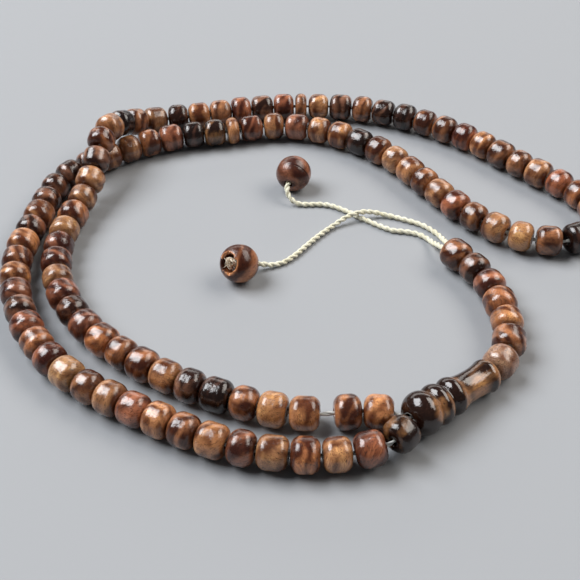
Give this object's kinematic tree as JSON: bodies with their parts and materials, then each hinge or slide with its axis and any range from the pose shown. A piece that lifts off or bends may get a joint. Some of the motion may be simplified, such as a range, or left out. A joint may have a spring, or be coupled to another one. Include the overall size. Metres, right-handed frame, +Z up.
{
  "type": "prayer bead string",
  "caption": "Loop of small turned wooden beads on a cord, divided by flat discs, with a ringed leader bead, a short beaded tail and two knotted end beads.",
  "frame": {"origin": "under the middle of the string as it lies, on the surface it lies on", "axes": "+Z up from the surface, +X along the long way of the lying loop, towards the turn in the string; +Y away from the leader bead"},
  "size_m": [0.1222, 0.1139, 0.0123],
  "materials": {
    "bead_wood": "gloss",
    "disc_wood": "gloss",
    "leader_wood": "gloss",
    "end_wood": "gloss",
    "tail_cord": "matte",
    "string": "matte"
  },
  "bodies": {
    "loop": {"leader_bead": "leader_wood", "leader_cord": "string", "loop_string": "string", "loop_beads_07_09": "bead_wood", "loop_beads_10_12": "bead_wood", "loop_beads_13_15": "bead_wood", "loop_beads_16_18": "bead_wood", "loop_beads_19_21": "bead_wood", "loop_beads_22_24": "bead_wood", "loop_beads_25_27": "bead_wood", "loop_beads_28_30": "bead_wood", "loop_beads_31_33": "bead_wood", "loop_beads_37_39": "bead_wood", "loop_beads_40_42": "bead_wood", "loop_beads_43_45": "bead_wood", "loop_beads_46_48": "bead_wood", "loop_beads_49_51": "bead_wood", "loop_beads_52_54": "bead_wood", "loop_beads_55_57": "bead_wood", "loop_beads_58_60": "bead_wood", "loop_beads_61_63": "bead_wood", "loop_beads_64_66": "bead_wood", "loop_beads_70_72": "bead_wood", "loop_beads_73_75": "bead_wood", "loop_beads_76_78": "bead_wood", "loop_beads_79_81": "bead_wood", "loop_beads_82_84": "bead_wood", "loop_beads_85_87": "bead_wood", "loop_beads_88_90": "bead_wood", "loop_beads_91_93": "bead_wood", "loop_beads_94_96": "bead_wood", "loop_beads_97_99": "bead_wood"},
    "tail": {"tail_inner_cord": "string", "tail_cord_a": "tail_cord", "tail_cord_b": "tail_cord", "end_knot_a": "tail_cord", "end_knot_b": "tail_cord"},
    "loop_bead_01": {"loop_bead_01": "bead_wood"},
    "loop_bead_02": {"loop_bead_02": "bead_wood"},
    "loop_bead_03": {"loop_bead_03": "bead_wood"},
    "loop_bead_04": {"loop_bead_04": "bead_wood"},
    "loop_bead_05": {"loop_bead_05": "bead_wood"},
    "loop_bead_06": {"loop_bead_06": "bead_wood"},
    "loop_bead_34": {"loop_bead_34": "bead_wood"},
    "loop_bead_35": {"loop_bead_35": "bead_wood"},
    "loop_bead_36": {"loop_bead_36": "bead_wood"},
    "loop_bead_67": {"loop_bead_67": "bead_wood"},
    "loop_bead_68": {"loop_bead_68": "bead_wood"},
    "loop_bead_69": {"loop_bead_69": "bead_wood"},
    "spacer_disc_1": {"spacer_disc_1": "disc_wood"},
    "spacer_disc_2": {"spacer_disc_2": "disc_wood"},
    "tail_bead_1": {"tail_bead_1": "bead_wood"},
    "tail_bead_2": {"tail_bead_2": "bead_wood"},
    "tail_bead_3": {"tail_bead_3": "bead_wood"},
    "tail_bead_4": {"tail_bead_4": "bead_wood"},
    "tail_bead_5": {"tail_bead_5": "bead_wood"},
    "tail_bead_6": {"tail_bead_6": "bead_wood"},
    "tail_bead_7": {"tail_bead_7": "bead_wood"},
    "end_bead_a": {"end_bead_a": "end_wood"},
    "end_bead_b": {"end_bead_b": "end_wood"}
  },
  "joints": [
    {"name": "loop_bead_01_slide", "type": "slide", "parent": "loop", "child": "loop_bead_01", "axis": [-0.9929, 0.1164, -0.0235], "range_m": [0, 0.0017]},
    {"name": "loop_bead_02_slide", "type": "slide", "parent": "loop", "child": "loop_bead_02", "axis": [-0.9968, -0.0798, 0], "range_m": [0, 0.0017]},
    {"name": "loop_bead_03_spin", "type": "hinge", "parent": "loop", "child": "loop_bead_03", "pos_m": [-0.00298, -0.04491, 0.0031], "axis": [-0.9945, 0.1043, 0], "continuous": true},
    {"name": "loop_bead_04_spin", "type": "hinge", "parent": "loop", "child": "loop_bead_04", "pos_m": [-0.0082, -0.04392, 0.0031], "axis": [-0.9623, 0.2721, 0], "continuous": true},
    {"name": "loop_bead_05_spin", "type": "hinge", "parent": "loop", "child": "loop_bead_05", "pos_m": [-0.01295, -0.04235, 0.0031], "axis": [-0.9339, 0.3575, 0], "continuous": true},
    {"name": "loop_bead_06_spin", "type": "hinge", "parent": "loop", "child": "loop_bead_06", "pos_m": [-0.01767, -0.04038, 0.0031], "axis": [-0.9129, 0.4083, 0], "continuous": true},
    {"name": "loop_bead_34_spin", "type": "hinge", "parent": "loop", "child": "loop_bead_34", "pos_m": [0.00269, 0.0538, 0.0031], "axis": [0.9982, -0.0597, 0], "continuous": true},
    {"name": "loop_bead_35_spin", "type": "hinge", "parent": "loop", "child": "loop_bead_35", "pos_m": [0.00797, 0.05322, 0.0031], "axis": [0.988, -0.1545, 0], "continuous": true},
    {"name": "loop_bead_36_spin", "type": "hinge", "parent": "loop", "child": "loop_bead_36", "pos_m": [0.01313, 0.05209, 0.0031], "axis": [0.9595, -0.2817, 0], "continuous": true},
    {"name": "loop_bead_67_spin", "type": "hinge", "parent": "loop", "child": "loop_bead_67", "pos_m": [-0.02163, 0.0429, 0.0031], "axis": [-0.9916, -0.1291, 0], "continuous": true},
    {"name": "loop_bead_68_spin", "type": "hinge", "parent": "loop", "child": "loop_bead_68", "pos_m": [-0.02647, 0.04221, 0.0031], "axis": [-0.9877, -0.1561, 0], "continuous": true},
    {"name": "loop_bead_69_spin", "type": "hinge", "parent": "loop", "child": "loop_bead_69", "pos_m": [-0.03153, 0.041, 0.0031], "axis": [-0.9537, -0.3007, 0], "continuous": true},
    {"name": "spacer_disc_1_spin", "type": "hinge", "parent": "loop", "child": "spacer_disc_1", "pos_m": [-0.0015, 0.05398, 0.0031], "axis": [0.9998, -0.019, 0], "continuous": true},
    {"name": "spacer_disc_2_spin", "type": "hinge", "parent": "loop", "child": "spacer_disc_2", "pos_m": [-0.01751, 0.04355, 0.0031], "axis": [-0.9811, -0.1933, 0], "continuous": true},
    {"name": "tail_swing", "type": "hinge", "parent": "loop", "child": "tail", "pos_m": [0.02921, -0.03636, 0.00306], "axis": [0, 0, 1], "range_deg": [-7, 5]},
    {"name": "tail_bead_1_spin", "type": "hinge", "parent": "tail", "child": "tail_bead_1", "pos_m": [0.03115, -0.03391, 0.00308], "axis": [0.609, 0.7932, 0.0066], "continuous": true},
    {"name": "tail_bead_2_spin", "type": "hinge", "parent": "tail", "child": "tail_bead_2", "pos_m": [0.03352, -0.02875, 0.0031], "axis": [0.2068, 0.9784, -0.0005], "continuous": true},
    {"name": "tail_bead_3_spin", "type": "hinge", "parent": "tail", "child": "tail_bead_3", "pos_m": [0.03403, -0.02353, 0.0031], "axis": [-0.0214, 0.9998, 0], "continuous": true},
    {"name": "tail_bead_4_spin", "type": "hinge", "parent": "tail", "child": "tail_bead_4", "pos_m": [0.03371, -0.01841, 0.0031], "axis": [-0.1019, 0.9948, 0], "continuous": true},
    {"name": "tail_bead_5_spin", "type": "hinge", "parent": "tail", "child": "tail_bead_5", "pos_m": [0.03264, -0.01317, 0.0031], "axis": [-0.3014, 0.9535, 0], "continuous": true},
    {"name": "tail_bead_6_spin", "type": "hinge", "parent": "tail", "child": "tail_bead_6", "pos_m": [0.03055, -0.0084, 0.0031], "axis": [-0.4956, 0.8685, 0], "continuous": true},
    {"name": "tail_bead_7_spin", "type": "hinge", "parent": "tail", "child": "tail_bead_7", "pos_m": [0.02766, -0.004, 0.0031], "axis": [-0.5971, 0.8022, 0], "continuous": true},
    {"name": "end_bead_a_spin", "type": "hinge", "parent": "tail", "child": "end_bead_a", "pos_m": [-0.0037, 0.0245, 0.00375], "axis": [0.351, 0.9225, 0.1604], "continuous": true},
    {"name": "end_bead_b_spin", "type": "hinge", "parent": "tail", "child": "end_bead_b", "pos_m": [-0.0147, -0.0062, 0.00375], "axis": [-0.6603, -0.5602, 0.5002], "continuous": true}
  ],
  "couplings": [
    {"joint": "loop_bead_01_slide", "follows": "loop_bead_02_slide", "ratio": 1}
  ]
}
